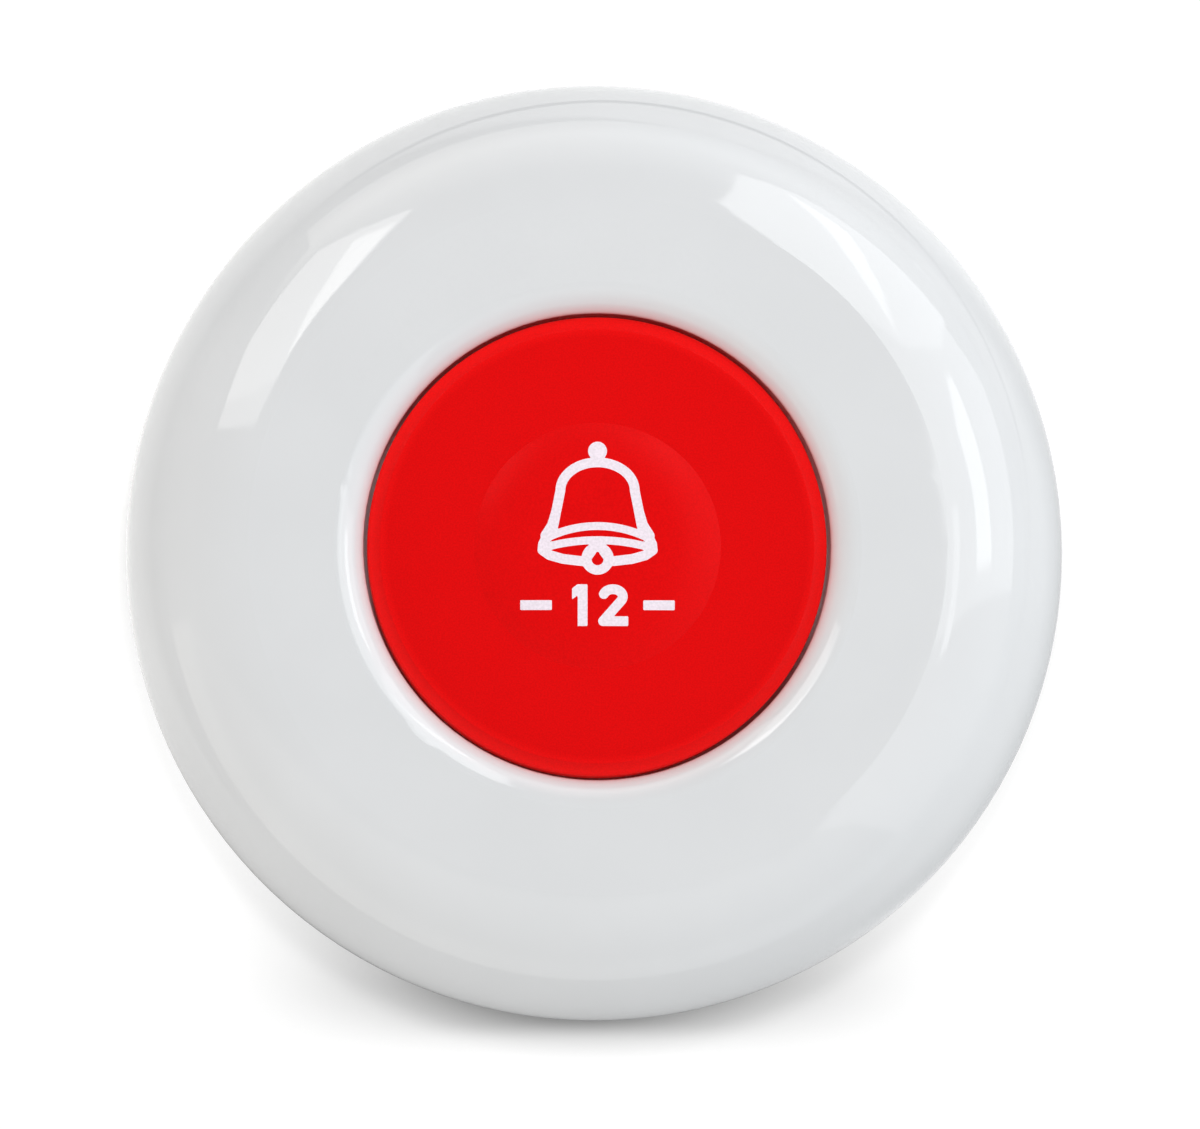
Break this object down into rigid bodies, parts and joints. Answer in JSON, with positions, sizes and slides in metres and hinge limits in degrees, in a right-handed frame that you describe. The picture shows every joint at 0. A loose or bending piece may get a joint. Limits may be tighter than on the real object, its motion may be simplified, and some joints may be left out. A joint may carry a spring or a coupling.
{
  "type": "waiter call button",
  "caption": "Round table-top wireless call button: domed housing, large sprung push button over a switch, round battery door underneath.",
  "frame": {"origin": "on the table, in the middle of the underside", "axes": "+Z up along the button's axis; the board's antenna lies on the -X side and the printed sign reads upright with +Y up"},
  "size_m": [0.06, 0.06, 0.018],
  "materials": {
    "white_gloss_plastic": "moulded ABS, polished",
    "white_satin_plastic": "moulded ABS, fine spark texture",
    "red_plastic": "moulded ABS, fine satin texture, white printed sign",
    "grey_silicone": "moulded silicone",
    "foot_rubber": "die-cut rubber",
    "screw_steel": "zinc plated",
    "spring_steel": "drawn wire",
    "black_plastic": "moulded resin",
    "contact_metal": "tinned",
    "board_laminate": "glass laminate with green mask",
    "lamp_plastic": "clear lens on a white base",
    "grey_ceramic": "ferrite with tinned ends",
    "tan_ceramic": "ceramic with tinned ends",
    "dark_ceramic": "ceramic with tinned ends",
    "spring_brass": "gold-flashed wire",
    "cell_steel": "nickel plated",
    "seal_plastic": "moulded polypropylene"
  },
  "bodies": {
    "housing": {"top_shell": "white_gloss_plastic", "base_shell": "white_satin_plastic", "housing_gasket": "grey_silicone", "rubber_feet": "foot_rubber", "housing_screws": "screw_steel", "return_spring": "spring_steel", "switch_housing": "black_plastic", "switch_cover": "contact_metal", "switch_dome": "spring_steel", "switch_legs": "contact_metal", "circuit_board": "board_laminate", "board_screws": "screw_steel", "transmitter_chip": "black_plastic", "chip_leads": "contact_metal", "crystal": "contact_metal", "transistor": "black_plastic", "indicator_led": "lamp_plastic", "inductors": "grey_ceramic", "capacitors": "tan_ceramic", "resistors": "dark_ceramic", "antenna_coil": "spring_brass", "battery_can": "cell_steel", "battery_seal": "seal_plastic", "battery_cap": "cell_steel", "side_contacts": "contact_metal", "leaf_contact": "contact_metal"},
    "button": {"button_cap": "red_plastic"},
    "plunger": {"switch_plunger": "black_plastic"},
    "door": {"battery_door": "white_satin_plastic", "door_seal": "grey_silicone"}
  },
  "joints": [
    {"name": "button_press", "type": "slide", "parent": "housing", "child": "button", "axis": [0, 0, -1], "range_m": [0, 0.0008], "stiffness_N_per_m": 400, "springref_m": -0.002, "deforming": ["return_spring"]},
    {"name": "plunger_press", "type": "slide", "parent": "housing", "child": "plunger", "axis": [0, 0, -1], "range_m": [0, 0.00025], "deforming": ["switch_dome"]},
    {"name": "door_turn", "type": "hinge", "parent": "housing", "child": "door", "pos_m": [0, 0, 0.0008], "axis": [0, 0, -1], "range_deg": [0, 40]}
  ],
  "couplings": [
    {"joint": "plunger_press", "follows": "button_press", "ratio": 0.3125}
  ]
}
